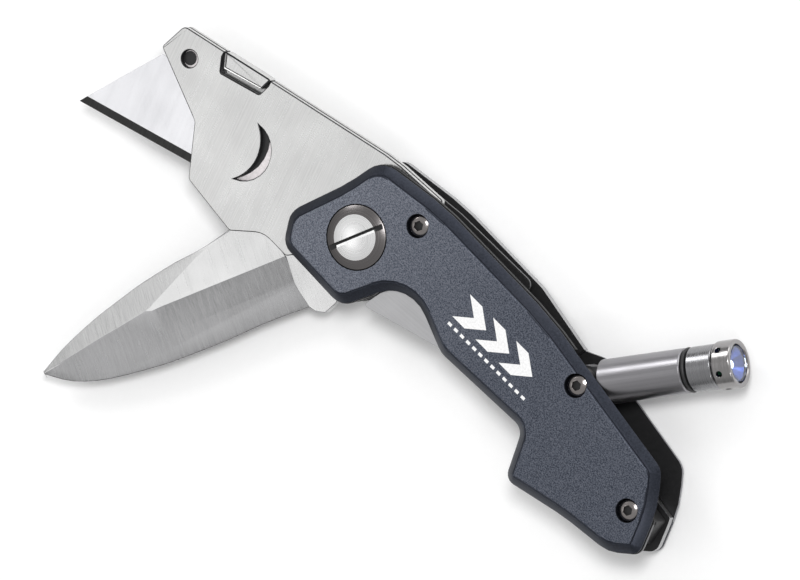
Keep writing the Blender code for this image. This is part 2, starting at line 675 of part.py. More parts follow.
def make_light():
    height = light_height()
    lug_half = 2.3
    lug_points = arc((0, 0), 4.4, 60, 300, 12) + [(LIGHT_HEEL + 0.5, -3.6), (LIGHT_HEEL + 0.5, 3.6)]
    moved = [(x + LIGHT_PIVOT[0], y + LIGHT_PIVOT[1]) for x, y in lug_points]
    tail = prism("light_swivel", moved, height - lug_half, height + lug_half, "nickel", LIGHT_PIVOT)
    stand_light(tail)
    plug = ((0, LIGHT_HEEL), (4.6, LIGHT_HEEL), (LIGHT_R, LIGHT_HEEL + 0.4), (LIGHT_R, LIGHT_HEEL + 1.1),
            (4.0, LIGHT_HEEL + 1.1), (4.0, LIGHT_HEEL + 3.2), (0, LIGHT_HEEL + 3.2))
    add_to(tail, hide_cutter(light_part("light_swivel_plug", plug, "nickel")))
    drill(tail, [(*LIGHT_PIVOT, BARREL_R + GAP, height - 4, height + 4)])
    turned("light_washer_front", ring_profile(BARREL_R + GAP, 3.9, height + lug_half + GAP,
                                              layer("front_liner")[1]), "black_plastic", LIGHT_PIVOT)
    turned("light_washer_rear", ring_profile(BARREL_R + GAP, 3.9, layer("rear_liner")[0],
                                             height - lug_half - GAP), "black_plastic", LIGHT_PIVOT)

    tube = ((4.3, 7.0), (LIGHT_R, 7.0), (LIGHT_R, 24.3), (4.75, 24.6), (4.3, 24.6))
    light_part("light_tube", tube, "nickel", 36)
    spring = ((2.6, 9.1), (3.4, 9.1), (2.2, 11.9), (1.4, 11.9))
    light_part("battery_spring", spring, "bright_steel", 24)
    for index in range(3):
        start = 12.2 + index * 3.9
        cell = ((0, start), (3.4, start), (3.95, start + 0.4), (3.95, start + 3.2), (3.2, start + 3.6),
                (0, start + 3.6))
        light_part(f"button_cell_{index + 1}", cell, "bright_steel", 24)
    ring_points = arc((4.65, 25.3), 0.5, 0, 315, 7)
    light_part("light_o_ring", ring_points, "rubber")

    head = ((3.4, 24.1), (4.0, 24.1), (4.0, 26.0), (4.8, 26.0), (LIGHT_R, 26.3), (LIGHT_R, 31.9),
            (4.8, 32.2), (3.4, 32.2))
    light_part("light_head", head, "nickel", 36)
    bezel = ((4.3, 32.9), (4.3, 36.9), (4.6, LIGHT_END), (5.3, LIGHT_END), (BEZEL_R, 36.9),
             (BEZEL_R, 32.9), (5.2, 32.5), (3.6, 32.5), (3.6, 32.9))
    ring = light_part("light_bezel", bezel, "bright_steel", 36)
    for index in range(3):
        port = turned(f"light_port_cutter_{index}", rod_profile(0.75, -7, 7), "steel", LIGHT_PIVOT,
                      height, 10)
        port.rotation_euler = (math.radians(60 * index + 20), 0, math.radians(LIGHT_REST_DEG))
        forward = Vector((math.cos(math.radians(LIGHT_REST_DEG)),
                          math.sin(math.radians(LIGHT_REST_DEG)), 0)) * (34.2 * MM)
        port.location += forward
        subtract(ring, hide_cutter(port))
    light_part("led_board", rod_profile(3.2, 32.6, 33.2), "green_board", 24)
    reflector = ((1.4, 33.5), (2.2, 33.5), (4.0, 35.6), (4.0, 36.0), (3.7, 36.0), (1.4, 33.9))
    light_part("light_reflector", reflector, "bright_steel", 24)
    led = ((0, 33.5), (1.1, 33.5), (1.1, 34.3), (0.95, 34.75), (0.55, 35.05), (0, 35.15))
    light_part("led", led, "led", 16)
    light_part("light_lens", rod_profile(4.0, 36.3, 36.9), "lens", 28)


def main():
    clear_scene()
    sweep = light_sweep()
    make_scales(sweep)
    make_liners(sweep)
    make_lock_arms()
    make_fixings()
    make_pivot_washers()
    make_head()
    make_utility_blade()
    make_knife()
    make_light()


main()
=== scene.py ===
"""Studio scene of a folding three-in-one pocket tool: materials, fine detail, lights and camera.

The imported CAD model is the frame.  Every piece keeps its place, and what is added here
rides on the frame's bodies.
"""
import json
import math

import bmesh
import bpy
from mathutils import Matrix, Vector


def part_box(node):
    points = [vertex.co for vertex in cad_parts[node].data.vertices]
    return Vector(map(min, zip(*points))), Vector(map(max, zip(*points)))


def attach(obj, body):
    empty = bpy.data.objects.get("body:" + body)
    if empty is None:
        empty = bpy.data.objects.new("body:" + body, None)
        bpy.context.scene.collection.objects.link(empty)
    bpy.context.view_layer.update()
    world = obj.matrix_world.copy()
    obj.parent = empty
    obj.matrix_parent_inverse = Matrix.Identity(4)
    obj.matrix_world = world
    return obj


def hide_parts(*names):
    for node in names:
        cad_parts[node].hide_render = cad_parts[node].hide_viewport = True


MM = 0.001

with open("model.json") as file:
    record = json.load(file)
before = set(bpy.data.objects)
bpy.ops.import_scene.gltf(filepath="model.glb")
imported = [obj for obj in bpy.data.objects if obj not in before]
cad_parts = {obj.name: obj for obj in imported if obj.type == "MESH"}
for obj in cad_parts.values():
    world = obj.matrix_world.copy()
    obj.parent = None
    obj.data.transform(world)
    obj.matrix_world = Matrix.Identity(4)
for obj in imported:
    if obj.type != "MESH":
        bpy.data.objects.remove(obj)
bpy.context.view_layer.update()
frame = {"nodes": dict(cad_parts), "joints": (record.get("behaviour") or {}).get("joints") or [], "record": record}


def joint(name):
    for entry in frame["joints"]:
        if entry["name"] == name:
            return entry
    raise KeyError(name)


# ---------------------------------------------------------------- places taken from the frame

PIVOT = Vector(joint("cutter_head_fold")["pos_m"])
LIGHT_PIVOT = Vector(joint("light_swing")["pos_m"])
LIGHT_AXIS = Vector(joint("light_switch_twist")["axis"]).normalized()
BLADE_AXIS = Vector(joint("blade_change_slide")["axis"]).normalized()
FACE_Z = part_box("front_scale")[1][2]

# ---------------------------------------------------------------- camera

LENS_MM = 1215.0
SENSOR_MM = 36.0
DISTANCE = 6.0
VIEW_RIGHT = Vector((-0.6727, -0.5978, -0.4358))
VIEW_UP = Vector((0.6792, -0.7325, -0.0438))
PIVOT_SHIFT = (-0.00969, 0.01171)      # where the pivot stands off the picture's centre, in metres


def make_camera():
    right = VIEW_RIGHT.normalized()
    back = right.cross(VIEW_UP).normalized()
    up = back.cross(right)
    target = Vector((PIVOT.x, PIVOT.y, FACE_Z)) - right * PIVOT_SHIFT[0] - up * PIVOT_SHIFT[1]
    data = bpy.data.cameras.new("camera")
    data.sensor_width = SENSOR_MM
    data.lens = LENS_MM
    data.clip_start = 0.05
    data.clip_end = 20
    camera = bpy.data.objects.new("camera", data)
    turn = Matrix((right, up, back)).transposed().to_4x4()
    camera.matrix_world = Matrix.Translation(target + back * DISTANCE) @ turn
    bpy.context.scene.collection.objects.link(camera)
    bpy.context.scene.camera = camera


make_camera()

# ---------------------------------------------------------------- node helpers


class Graph:
    """A material's node tree with short calls for the nodes used here."""

    def __init__(self, name):
        self.material = bpy.data.materials.new(name)
        self.material.use_nodes = True
        self.tree = self.material.node_tree
        self.shader = self.tree.nodes["Principled BSDF"]
        self.coords = self.tree.nodes.new("ShaderNodeTexCoord").outputs["Object"]

    def link(self, source, target):
        self.tree.links.new(source, target)

    def stretched(self, scale, turn_deg=0.0):
        """Object coordinates turned about Z and scaled along each axis."""
        mapping = self.tree.nodes.new("ShaderNodeMapping")
        mapping.vector_type = 'POINT'
        turn = self.tree.nodes.new("ShaderNodeMapping")
        turn.inputs["Rotation"].default_value = (0, 0, math.radians(-turn_deg))
        self.link(self.coords, turn.inputs["Vector"])
        mapping.inputs["Scale"].default_value = scale
        self.link(turn.outputs["Vector"], mapping.inputs["Vector"])
        return mapping.outputs["Vector"]

    def noise(self, scale, detail=2.0, roughness=0.5, coords=None):
        node = self.tree.nodes.new("ShaderNodeTexNoise")
        node.inputs["Scale"].default_value = scale
        node.inputs["Detail"].default_value = detail
        node.inputs["Roughness"].default_value = roughness
        self.link(coords or self.coords, node.inputs["Vector"])
        return node.outputs["Fac"]

    def remap(self, value, low, high, out_low, out_high):
        node = self.tree.nodes.new("ShaderNodeMapRange")
        for label, number in (("From Min", low), ("From Max", high), ("To Min", out_low),
                              ("To Max", out_high)):
            node.inputs[label].default_value = number
        self.link(value, node.inputs["Value"])
        return node.outputs["Result"]

    def spread(self, noise, out_low, out_high):
        """Stretch the range that noise mostly fills between two values."""
        return self.remap(noise, 0.3, 0.7, out_low, out_high)

    def math(self, operation, first, second):
        node = self.tree.nodes.new("ShaderNodeMath")
        node.operation = operation
        for index, value in enumerate((first, second)):
            if isinstance(value, (int, float)):
                node.inputs[index].default_value = value
            else:
                self.link(value, node.inputs[index])
        return node.outputs[0]

    def mix(self, factor, first, second):
        """Blend two colours, each an RGB tuple or a socket."""
        node = self.tree.nodes.new("ShaderNodeMix")
        node.data_type = 'RGBA'
        self.link(factor, node.inputs["Factor"])
        for label, value in (("A", first), ("B", second)):
            socket = [entry for entry in node.inputs
                      if entry.name == label and entry.type == 'RGBA'][0]
            if isinstance(value, tuple):
                socket.default_value = (*value, 1.0)
            else:
                self.link(value, socket)
        return [entry for entry in node.outputs if entry.type == 'RGBA'][0]

    def rings_about(self, centre, scale):
        """Coordinates that change only with the distance from a vertical axis."""
        shift = self.tree.nodes.new("ShaderNodeMapping")
        shift.inputs["Location"].default_value = (-centre.x, -centre.y, 0)
        self.link(self.coords, shift.inputs["Vector"])
        flat = self.tree.nodes.new("ShaderNodeVectorMath")
        flat.operation = 'MULTIPLY'
        flat.inputs[1].default_value = (1, 1, 0)
        self.link(shift.outputs["Vector"], flat.inputs[0])
        length = self.tree.nodes.new("ShaderNodeVectorMath")
        length.operation = 'LENGTH'
        self.link(flat.outputs["Vector"], length.inputs[0])
        join = self.tree.nodes.new("ShaderNodeCombineXYZ")
        self.link(self.math('MULTIPLY', length.outputs["Value"], scale), join.inputs[0])
        return join.outputs[0]

    def separate(self, coords):
        node = self.tree.nodes.new("ShaderNodeSeparateXYZ")
        self.link(coords, node.inputs[0])
        return node.outputs

    def bump(self, height, strength, distance):
        node = self.tree.nodes.new("ShaderNodeBump")
        node.inputs["Strength"].default_value = strength
        node.inputs["Distance"].default_value = distance
        self.link(height, node.inputs["Height"])
        self.link(node.outputs["Normal"], self.shader.inputs["Normal"])

    def set(self, **values):
        for label, value in values.items():
            socket = self.shader.inputs[label.replace("_", " ")]
            if isinstance(value, (int, float)):
                socket.default_value = value
            elif isinstance(value, tuple):
                socket.default_value = (*value, 1.0)
            else:
                self.link(value, socket)


# ---------------------------------------------------------------- materials


def dimmed(colour, share):
    return tuple(channel * share for channel in colour)


def anodised_material():
    """Bead-blasted dark blue-grey anodised aluminium, a little paler towards the nose end and darker towards the
    rear: painted light.
    """
    graph = Graph("anodised_aluminium")
    grain = graph.noise(3300, 3.0, 0.7)
    cloud = graph.noise(60, 2.0)
    speck = graph.noise(1500, 1.0, 0.4)
    along = graph.separate(graph.coords)[0]
    # Painted light: the scales run from a darker shaded tone at the rear to a paler lit tone at the nose end.
    lit_towards_nose = graph.remap(along, PIVOT.x - 0.045, PIVOT.x + 0.008, 0.0, 1.0)
    painted_lit_tone = graph.mix(graph.remap(grain, 0.38, 0.62, 0.0, 1.0),
                     (0.070, 0.080, 0.105), (0.250, 0.266, 0.312))
    painted_shaded_tone = graph.mix(graph.remap(grain, 0.38, 0.62, 0.0, 1.0),
                      (0.034, 0.041, 0.058), (0.146, 0.159, 0.196))
    tone = graph.mix(lit_towards_nose, painted_shaded_tone, painted_lit_tone)
    tone = graph.mix(graph.remap(speck, 0.64, 0.74, 0.0, 0.35), tone, (0.21, 0.22, 0.25))
    graph.set(Base_Color=tone, Metallic=0.88)
    rough = graph.math('ADD', graph.spread(grain, 0.34, 0.46),
                       graph.spread(cloud, -0.03, 0.04))
    graph.set(Roughness=rough)
    graph.bump(grain, 0.32, 0.00008)
    return graph.material


def bevel_material():
    """The same anodising on the machined bevels: smoother, deeper and a little bluer."""
    graph = Graph("anodised_bevel")
    grain = graph.noise(2600, 3.0, 0.6)
    cloud = graph.noise(45, 2.0)
    tone = graph.mix(graph.spread(grain, 0.0, 1.0), (0.020, 0.023, 0.032), (0.036, 0.041, 0.056))
    tone = graph.mix(graph.remap(cloud, 0.5, 0.8, 0.0, 0.5), tone, (0.050, 0.054, 0.068))
    graph.set(Base_Color=tone, Metallic=0.8)
    graph.set(Roughness=graph.spread(grain, 0.30, 0.40))
    graph.bump(grain, 0.2, 0.00004)
    return graph.material


def brushed_material(name, colour, turn_deg, dark=0.82, rough=(0.24, 0.38), line=2600,
                     depth=0.00003):
    """Steel with fine straight brush lines that run along the turned X axis."""
    graph = Graph(name)
    lines = graph.noise(1.0, 3.0, 0.6, graph.stretched((line * 0.012, line, line), turn_deg))
    broad = graph.noise(1.0, 2.0, 0.5, graph.stretched((40, 340, 340), turn_deg))
    cloud = graph.noise(90, 2.0)
    darker = dimmed(colour, dark)
    tone = graph.mix(graph.spread(lines, 0.0, 1.0), darker, colour)
    tone = graph.mix(graph.remap(broad, 0.55, 0.75, 0.0, 0.35), tone, dimmed(colour, 0.78))
    graph.set(Base_Color=tone, Metallic=1.0)
    base = graph.spread(lines, rough[0], rough[1])
    graph.set(Roughness=graph.math('ADD', base, graph.spread(cloud, -0.03, 0.03)))
    graph.bump(lines, 0.35, depth)
    return graph.material


def faced_material(name, colour, centre, rough):
    """A face turned on a lathe: fine rings about a vertical axis."""
    graph = Graph(name)
    rings = graph.noise(1.0, 3.0, 0.6, graph.rings_about(centre, 3200))
    cloud = graph.noise(160, 2.0)
    tone = graph.mix(graph.spread(rings, 0.0, 1.0), dimmed(colour, 0.86), colour)
    graph.set(Base_Color=tone, Metallic=1.0)
    graph.set(Roughness=graph.math('ADD', graph.spread(rings, rough[0], rough[1]),
                                   graph.spread(cloud, -0.02, 0.03)))
    graph.bump(rings, 0.3, 0.00002)
    return graph.material


def turned_material(name, colour, rough, axis_turn_deg, line=2400):
    """Metal turned on a lathe: fine rings about the light's axis."""
    graph = Graph(name)
    fine = graph.stretched((line, line * 0.02, line * 0.02), axis_turn_deg)
    rings = graph.noise(1.0, 2.0, 0.55, fine)
    cloud = graph.noise(160, 2.0)
    tone = graph.mix(graph.spread(rings, 0.0, 1.0), dimmed(colour, 0.88), colour)
    graph.set(Base_Color=tone, Metallic=1.0)
    graph.set(Roughness=graph.math('ADD', graph.spread(rings, rough[0], rough[1]),
                                   graph.spread(cloud, -0.02, 0.03)))
    graph.bump(rings, 0.2, 0.00002)
    return graph.material


def polished_material(name, colour, rough):
    graph = Graph(name)
    scuff = graph.noise(1.0, 3.0, 0.6, graph.stretched((300, 2600, 2600), 25))
    cloud = graph.noise(240, 2.0)
    graph.set(Base_Color=colour, Metallic=1.0)
    graph.set(Roughness=graph.math('ADD', graph.remap(scuff, 0.45, 0.75, rough[0], rough[1]),
                                   graph.spread(cloud, -0.02, 0.02)))
    graph.bump(scuff, 0.08, 0.00001)
    return graph.material


def plain_material(name, colour, rough, metallic=0.0, grain=900, depth=0.00004):
    """Moulded plastic, rubber or print with a fine texture."""
    graph = Graph(name)
    texture = graph.noise(grain, 3.0, 0.6)
    tone = graph.mix(graph.spread(texture, 0.0, 1.0), dimmed(colour, 0.8), colour)
    graph.set(Base_Color=tone, Metallic=metallic)
    graph.set(Roughness=graph.spread(texture, rough - 0.06, rough + 0.06))
    graph.bump(texture, 0.3, depth)
    return graph.material


def paper_material():
    graph = Graph("floor_paper")
    fibre = graph.noise(700, 3.0, 0.6)
    graph.set(Base_Color=graph.mix(fibre, (0.93, 0.93, 0.93), (0.96, 0.96, 0.96)), Roughness=0.9)
    graph.bump(fibre, 0.1, 0.00002)
    return graph.material


def glowing_material(name, colour, strength):
    graph = Graph(name)
    speck = graph.noise(800, 1.0)
    graph.set(Base_Color=graph.mix(speck, dimmed(colour, 0.9), colour), Roughness=0.2)
    graph.shader.inputs["Emission Color"].default_value = (*colour, 1.0)
    graph.shader.inputs["Emission Strength"].default_value = strength
    return graph.material


def clear_material(name):
    graph = Graph(name)
    graph.set(Base_Color=(0.82, 0.88, 1.0), Metallic=0.0)
    graph.set(Roughness=graph.spread(graph.noise(500, 1.0), 0.02, 0.06))
    graph.shader.inputs["Transmission Weight"].default_value = 1.0
    graph.shader.inputs["IOR"].default_value = 1.46
    return graph.material


HEAD_BRUSH_DEG = 104.0
KNIFE_BRUSH_DEG = -28.0
LIGHT_DEG = math.degrees(math.atan2(LIGHT_AXIS.y, LIGHT_AXIS.x))
BLADE_DEG = math.degrees(math.atan2(BLADE_AXIS.y, BLADE_AXIS.x))

ANODISED = anodised_material()
BEVEL = bevel_material()
HEAD_STEEL = brushed_material("head_steel", (0.71, 0.71, 0.705), HEAD_BRUSH_DEG, dark=0.74)
LINER_STEEL = brushed_material("liner_steel", (0.50, 0.50, 0.51), 5, rough=(0.28, 0.42))
KNIFE_STEEL = brushed_material("knife_steel", (0.60, 0.60, 0.60), KNIFE_BRUSH_DEG, 0.84,
                               (0.18, 0.28))
GRIND_STEEL = brushed_material("knife_grind_steel", (0.40, 0.40, 0.405), KNIFE_BRUSH_DEG, 0.80,
                               (0.18, 0.28))
BLADE_STEEL = brushed_material("blade_steel", (0.62, 0.62, 0.64), BLADE_DEG + 90, 0.9, (0.18, 0.26))
GROUND_STEEL = brushed_material("ground_edge_steel", (0.060, 0.060, 0.060), BLADE_DEG + 90, 0.7,
                                (0.3, 0.4))
# Near-black steel on the rounded edges of some steel pieces: painted shade that draws dark outlines.
EDGE_SHADE_STEEL = brushed_material("edge_steel", (0.045, 0.045, 0.048), 15, 0.8, (0.3, 0.42))
# Near-black steel for inner faces, gaps, slot floors, sockets and cut walls, where shade falls: painted shade.
SHADE_STEEL = plain_material("painted_shade_steel", (0.016, 0.016, 0.017), 0.5, metallic=0.3, grain=1800)
# Pale steel on the rear scale's spine-side bevels: painted reflection of light.
BEVEL_REFLECTION = brushed_material("rear_bevel_painted_reflection", (0.34, 0.34, 0.36), 5, rough=(0.3, 0.4))
# Darker liner steel for the liners' edges between the scales: painted shade.
LINER_EDGE_SHADE = brushed_material("liner_edge_painted_shade", (0.16, 0.16, 0.165), 5, rough=(0.28, 0.42))
GUIDE_STEEL = plain_material("guide_steel", (0.90, 0.85, 0.86), 0.5, metallic=0.2, grain=1800)
NICKEL = brushed_material("satin_nickel", (0.30, 0.295, 0.31), LIGHT_DEG, 0.88,
                          (0.30, 0.38), 2200, 0.00001)
HEAD_NICKEL = turned_material("light_head_nickel", (0.27, 0.27, 0.28), (0.22, 0.3), LIGHT_DEG, 3600)
POLISHED_NICKEL = turned_material("polished_nickel", (0.33, 0.32, 0.32), (0.16, 0.24), LIGHT_DEG)
SCREW_STEEL = polished_material("screw_steel", (0.27, 0.25, 0.245), (0.16, 0.26))
PIVOT_STEEL = faced_material("pivot_steel", (0.96, 0.96, 0.96), PIVOT, (0.22, 0.34))
# A dark copy of the pivot steel for the pivot screw's rim: painted shade.
PIVOT_RIM_SHADE = faced_material("pivot_rim_painted_shade", (0.17, 0.16, 0.16), PIVOT, (0.20, 0.32))
BRASS = polished_material("bronze_washer", (0.62, 0.45, 0.20), (0.25, 0.4))
# Black nylon for the spacers and washers; the same black also makes the sheets of painted shade in the thumb cut
# and the rivet hole.
BLACK_NYLON_AND_SHADE = plain_material("black_nylon_and_painted_shade", (0.012, 0.012, 0.013), 0.45)
RUBBER = plain_material("ring_rubber", (0.010, 0.010, 0.011), 0.5, grain=1600)
BOARD = plain_material("board_green", (0.03, 0.20, 0.10), 0.5)
PRINT_WHITE = plain_material("print_white", (0.90, 0.90, 0.90), 0.5, grain=2400, depth=0.00001)
LED_GLOW = glowing_material("led_glow", (0.85, 0.92, 1.0), 4.0)
CLEAR = clear_material("lens_clear")
REFLECTOR_METAL = polished_material("reflector_metal", (0.10, 0.15, 0.42), (0.20, 0.28))

FRONT_SCREWS = ("front_screw_nose", "front_screw_middle", "front_screw_rear")
REAR_SCREWS = ("rear_screw_nose", "rear_screw_middle", "rear_screw_rear")

NODE_MATERIALS = {
    ANODISED: ("front_scale", "rear_scale"),
    HEAD_STEEL: ("head_front_plate", "head_rear_plate", "release_button"),
    LINER_STEEL: ("front_liner", "middle_liner", "rear_liner", "head_lock_arm", "knife_lock_arm",
                  "stop_pin", "light_pivot_barrel", "pivot_nut"),
    KNIFE_STEEL: ("knife_blade",),
    BLADE_STEEL: ("utility_blade",),
    NICKEL: ("light_swivel", "light_tube"),
    HEAD_NICKEL: ("light_head",),
    POLISHED_NICKEL: ("light_bezel",),
    SCREW_STEEL: FRONT_SCREWS + REAR_SCREWS + ("battery_spring", "button_cell_1", "button_cell_2",
                                               "button_cell_3"),
    PIVOT_STEEL: ("pivot_screw",),
    BRASS: ("knife_washer_rear", "knife_washer_front", "head_washer_rear", "head_washer_front"),
    BLACK_NYLON_AND_SHADE: ("rear_spacer_lower", "rear_spacer_upper", "light_washer_front",
                    "light_washer_rear"),
    RUBBER: ("light_o_ring",),
    BOARD: ("led_board",),
    REFLECTOR_METAL: ("light_reflector",),
    LED_GLOW: ("led",),
    CLEAR: ("light_lens",),
}

# ---------------------------------------------------------------- refined copies of the CAD solids

COPLANAR = math.radians(0.6)


def welded(node):
    """The CAD solid as a bmesh, with its triangles welded and flat faces merged."""
    work = bmesh.new()
    work.from_mesh(frame["nodes"][node].data)
    bmesh.ops.remove_doubles(work, verts=work.verts, dist=0.000002)
    bmesh.ops.dissolve_limit(work, angle_limit=COPLANAR, verts=work.verts, edges=work.edges)
    bmesh.ops.recalc_face_normals(work, faces=work.faces)
    work.verts.index_update()
    return work


def refined(node, finish, edge_width, sharp_deg, shape, edge_shade):
    """A piece in place of a CAD solid: rounded edges, smooth shading and any extra shaping."""
    work = welded(node)
    if shape:
        shape(work)
        work.verts.index_update()
    mesh = bpy.data.meshes.new(node + "_finished")
    mesh.from_pydata([vert.co[:] for vert in work.verts], [],
                     [[vert.index for vert in face.verts] for face in work.faces])
    work.free()
    mesh.materials.append(finish)
    mesh.shade_smooth()
    mesh.set_sharp_from_angle(angle=math.radians(sharp_deg))
    piece = bpy.data.objects.new(node + "_finished", mesh)
    bpy.context.scene.collection.objects.link(piece)
    rounding = piece.modifiers.new("soft_edges", 'BEVEL')
    rounding.width = edge_width
    rounding.segments = 2
    rounding.limit_method = 'ANGLE'
    rounding.angle_limit = math.radians(EDGE_DEGREES)
    rounding.harden_normals = True
    # The listed pieces get near-black steel on their rounded edges: painted shade.
    if edge_shade:
        mesh.materials.append(edge_shade)
        rounding.material = 1
        rounding.use_clamp_overlap = False
    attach(piece, body_of_node(node))
    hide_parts(node)


def body_of_node(node):
    for body, nodes in frame["record"]["behaviour"]["bodies"].items():
        if node in nodes:
            return body
    raise KeyError(node)


# Edges sharper than this are rounded, and shaded as sharp unless a node has an angle of its own.
EDGE_DEGREES = 28.0
EDGE_WIDTH = 0.00010
EDGE_WIDTHS = {"knife_blade": 0.00009, "head_front_plate": 0.00022, "head_rear_plate": 0.00022,
               "release_button": 0.00012}
SHARP_DEGREES = {"knife_blade": 4.0, "utility_blade": 3.0, "front_scale": 12.0}
# Pieces whose rounded edges get painted shade.
DARK_EDGED = ("knife_blade", "head_front_plate", "head_rear_plate", "release_button")

# Lengths in metres.
RIM_WIDTH = 0.00035
RIM_DROP = 0.0004
SCREW_HEAD_DEPTH = 0.0011
SCREW_HEAD_SUNK = 0.0005
SCREW_HEAD_WIDER = 1.06
SLEEVE_START = 0.0042
NECK_R = 0.0041
TUBE_END = 0.0001
SAME_PLANE = 0.00001


def stepped_rim(work):
    """Chamfer the rim of the button's face, so that a line of shade frames it."""
    top = max(vert.co.z for vert in work.verts)
    front = [face for face in work.faces
             if face.normal.z > 0.99 and face.calc_center_median().z > top - SAME_PLANE]
    outer = {vert for face in front for vert in face.verts}
    bmesh.ops.inset_region(work, faces=front, thickness=RIM_WIDTH, depth=0.0)
    for vert in outer:
        vert.co.z -= RIM_DROP


def raised_head(work):
    """Lift a cap screw's head near the scale's face and widen it in its well."""
    top = max(vert.co.z for vert in work.verts)
    head = [vert for vert in work.verts if vert.co.z > top - SCREW_HEAD_DEPTH]
    centre = sum((vert.co for vert in head), Vector()) / len(head)
    for vert in head:
        vert.co.z += FACE_Z - SCREW_HEAD_SUNK - top
        vert.co.x = centre.x + (vert.co.x - centre.x) * SCREW_HEAD_WIDER
        vert.co.y = centre.y + (vert.co.y - centre.y) * SCREW_HEAD_WIDER


def sleeve(work):
    """Run the tube back over the swivel's neck, as one plain sleeve."""
    along = [(vert.co - LIGHT_PIVOT).dot(LIGHT_AXIS) for vert in work.verts]
    start = min(along)
    for vert, place in zip(work.verts, along):
        if place < start + TUBE_END:
            vert.co -= LIGHT_AXIS * (start - SLEEVE_START)


def slim_neck(work):
    """Narrow the swivel's neck so that it fits inside the sleeve."""
    for vert in work.verts:
        along = (vert.co - LIGHT_PIVOT).dot(LIGHT_AXIS)
        spoke = vert.co - LIGHT_PIVOT - LIGHT_AXIS * along
        if along > SLEEVE_START and spoke.length > NECK_R:
            vert.co = LIGHT_PIVOT + LIGHT_AXIS * along + spoke.normalized() * NECK_R


def finish_cad_nodes():
    shapes = {"release_button": stepped_rim, "light_tube": sleeve, "light_swivel": slim_neck}
    shapes.update({screw: raised_head for screw in FRONT_SCREWS})
    for finish, nodes in NODE_MATERIALS.items():
        for node in nodes:
            edge_shade = EDGE_SHADE_STEEL if node in DARK_EDGED else None
            refined(node, finish, EDGE_WIDTHS.get(node, EDGE_WIDTH),
                    SHARP_DEGREES.get(node, EDGE_DEGREES), shapes.get(node), edge_shade)


def refinish(node, finish, chosen):
    """Give a second finish to the faces of a finished piece that the test picks."""
    mesh = bpy.data.objects[node + "_finished"].data
    mesh.materials.append(finish)
    for face in mesh.polygons:
        if chosen(face.normal, face.center):
            face.material_index = len(mesh.materials) - 1


def near(spot, reach):
    """A test for places within reach of a spot, seen along Z."""
    return lambda place: (Vector((place.x, place.y)) - Vector(spot[:2])).length < reach


def middle(node):
    low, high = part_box(node)
    return ((low[0] + high[0]) / 2, (low[1] + high[1]) / 2)


def is_slanted(normal, centre):
    return abs(normal.z) < FLAT


def faces_spine(normal, centre):
    return normal.y <= SPINE_SIDE


# Faces are sorted by their normals: how far these stand along Z, or point along X or Y.
FLAT = 0.97
FACES_FRONT = 0.9
PIVOT_FLAT = 0.98
STEEP = 0.5
UPRIGHT = 0.1
GROUND = (0.5, 0.9985)
SHARPENED = (0.5, 0.999)
HOLLOW_SIDE = -0.02
SPINE_SIDE = -0.3
FACES_BELLY = 0.9
# Reaches and depths in metres.
SOCKET_R = 0.0012
SOCKET_FLOOR_DEPTH = 0.0003
PIVOT_SLOT_REACH = 0.0053
PIVOT_FLOOR_DEPTH = 0.0002
THUMB_CUT_REACH = 0.009
RIVET_HOLE_REACH = 0.0024
BUTTON_POCKET_REACH = 0.0085


def finish_handle_faces():
    for scale in ("front_scale", "rear_scale"):
        refinish(scale, BEVEL, is_slanted)
    # Painted shade: the liners' flat faces between the scales are near-black, and their edges darker, most of all
    # on the front liner's spine side.
    for liner in ("front_liner", "middle_liner", "rear_liner"):
        refinish(liner, SHADE_STEEL, lambda normal, centre: abs(normal.z) > STEEP)
    refinish("middle_liner", LINER_EDGE_SHADE, lambda normal, centre: abs(normal.z) < STEEP)
    refinish("front_liner", LINER_EDGE_SHADE,
             lambda normal, centre: abs(normal.z) < STEEP and not faces_spine(normal, centre))
    refinish("front_liner", SHADE_STEEL,
             lambda normal, centre: abs(normal.z) < STEEP and faces_spine(normal, centre))
    # Painted shade on the rear scale's inner face, and a painted reflection on its spine-side bevels.
    refinish("rear_scale", SHADE_STEEL, lambda normal, centre: normal.z > FLAT)
    refinish("rear_scale", BEVEL_REFLECTION,
             lambda normal, centre: is_slanted(normal, centre) and faces_spine(normal, centre))


def finish_blade_faces():
    refinish("knife_blade", GRIND_STEEL,
             lambda normal, centre: GROUND[0] < abs(normal.z) < GROUND[1]
             and normal.x < HOLLOW_SIDE)
    refinish("utility_blade", GROUND_STEEL,
             lambda normal, centre: SHARPENED[0] < abs(normal.z) < SHARPENED[1])


def finish_screw_faces():
    slot_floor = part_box("pivot_screw")[1][2] - PIVOT_FLOOR_DEPTH
    in_slot = near(PIVOT, PIVOT_SLOT_REACH)
    # Painted shade on the floor of the pivot screw's slot, and on its rim.
    refinish("pivot_screw", SHADE_STEEL,
             lambda normal, centre: normal.z > FACES_FRONT and centre.z < slot_floor
             and in_slot(centre))
    refinish("pivot_screw", PIVOT_RIM_SHADE, lambda normal, centre: abs(normal.z) < PIVOT_FLAT)
    # Painted shade in the sockets of the front screws.
    floor_z = FACE_Z - SCREW_HEAD_SUNK - SOCKET_FLOOR_DEPTH
    for screw in FRONT_SCREWS:
        in_socket = near(middle(screw), SOCKET_R)
        refinish(screw, SHADE_STEEL, lambda normal, centre: in_socket(centre) and centre.z < floor_z)


